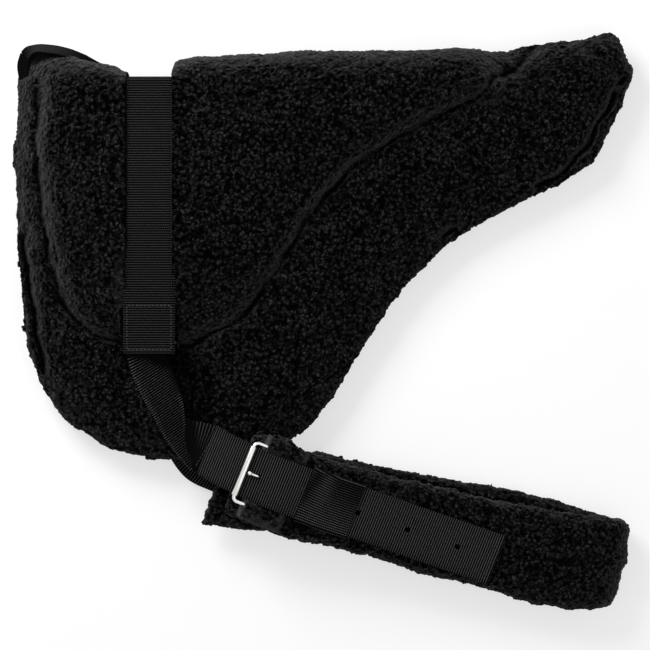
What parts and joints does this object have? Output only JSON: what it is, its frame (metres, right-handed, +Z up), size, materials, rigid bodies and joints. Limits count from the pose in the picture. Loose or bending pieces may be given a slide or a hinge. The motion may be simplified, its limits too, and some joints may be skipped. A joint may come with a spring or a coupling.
{
  "type": "bareback pad",
  "caption": "Fleece bareback pad folded in half along its spine, with a sewn surcingle, grab strap, billets with punched holes and a fleece-covered girth with roller buckles",
  "frame": {"origin": "middle of the underside of the whole folded pad, on the surface it lies on", "axes": "+X to the tail of the pad, +Y to the spine fold, +Z up from the surface"},
  "size_m": [0.6024, 0.5666, 0.0698],
  "materials": {
    "fleece": "black curly pile fleece, matt",
    "lining": "black short-pile lining cloth, matt",
    "foam": "felted wadding and soft foam, matt",
    "webbing": "black ribbed webbing with sewn edges, slight sheen",
    "steel": "bright nickel-plated steel wire"
  },
  "bodies": {
    "off_half": {"off_cover": "fleece", "off_lining": "lining", "off_seat_foam": "foam", "off_skirt_wadding": "foam", "off_surcingle": "webbing"},
    "spine": {"fold_cover": "fleece", "surcingle_crown": "webbing", "grab_strap_front_tab": "webbing", "grab_strap_rear_tab": "webbing"},
    "near_half": {"near_cover": "fleece", "near_lining": "lining", "near_seat_foam": "foam", "near_skirt_wadding": "foam", "near_surcingle": "webbing"},
    "near_girth": {"near_hanging_strap": "webbing", "near_billet": "webbing", "near_girth_sleeve": "fleece", "near_girth_web": "webbing", "girth_bend": "fleece", "girth_bend_web": "webbing", "near_chape": "webbing", "near_keeper": "webbing", "near_buckle_frame": "steel", "near_buckle_tongue": "steel"},
    "near_roller": {"near_buckle_roller": "steel"},
    "off_girth": {"off_girth_sleeve": "fleece", "off_girth_web": "webbing", "off_chape": "webbing", "off_keeper": "webbing", "off_buckle_frame": "steel", "off_buckle_tongue": "steel"},
    "off_roller": {"off_buckle_roller": "steel"},
    "off_strap": {"off_billet": "webbing"},
    "grab_handle": {"grab_strap": "webbing"}
  },
  "joints": [
    {"name": "spine_fold", "type": "hinge", "parent": "off_half", "child": "spine", "pos_m": [-0.16726, 0.23035, 0.027], "axis": [-1, 0, 0], "range_deg": [0, 90], "deforming": ["fold_cover", "surcingle_crown", "grab_strap_front_tab", "grab_strap_rear_tab"]},
    {"name": "near_fold", "type": "hinge", "parent": "spine", "child": "near_half", "pos_m": [-0.16726, 0.23035, 0.027], "axis": [-1, 0, 0], "range_deg": [0, 90]},
    {"name": "near_strap_swing", "type": "hinge", "parent": "near_half", "child": "near_girth", "pos_m": [-0.16726, -0.03459, 0.0528], "axis": [-1, 0, 0], "range_deg": [0, 120]},
    {"name": "near_roller_turn", "type": "hinge", "parent": "near_girth", "child": "near_roller", "pos_m": [-0.07445, -0.14713, 0.06413], "axis": [0.3714, 0.9285, 0], "continuous": true},
    {"name": "girth_fold", "type": "hinge", "parent": "near_girth", "child": "off_girth", "pos_m": [0.2744, -0.23826, 0.01785], "axis": [-0.1702, -0.9854, 0], "range_deg": [0, 90], "deforming": ["girth_bend", "girth_bend_web"]},
    {"name": "off_roller_turn", "type": "hinge", "parent": "off_girth", "child": "off_roller", "pos_m": [-0.04519, -0.15744, 0.00899], "axis": [0.3714, 0.9285, 0], "continuous": true},
    {"name": "off_strap_swing", "type": "hinge", "parent": "off_half", "child": "off_strap", "pos_m": [-0.16726, -0.03459, 0.0012], "axis": [1, 0, 0], "range_deg": [0, 120]},
    {"name": "grab_strap_swing", "type": "hinge", "parent": "spine", "child": "grab_handle", "pos_m": [-0.26422, 0.26217, 0.027], "axis": [1, 0, 0], "range_deg": [-20, 20]}
  ],
  "couplings": [
    {"joint": "near_fold", "follows": "spine_fold", "ratio": 1},
    {"joint": "girth_fold", "follows": "spine_fold", "ratio": 1}
  ]
}
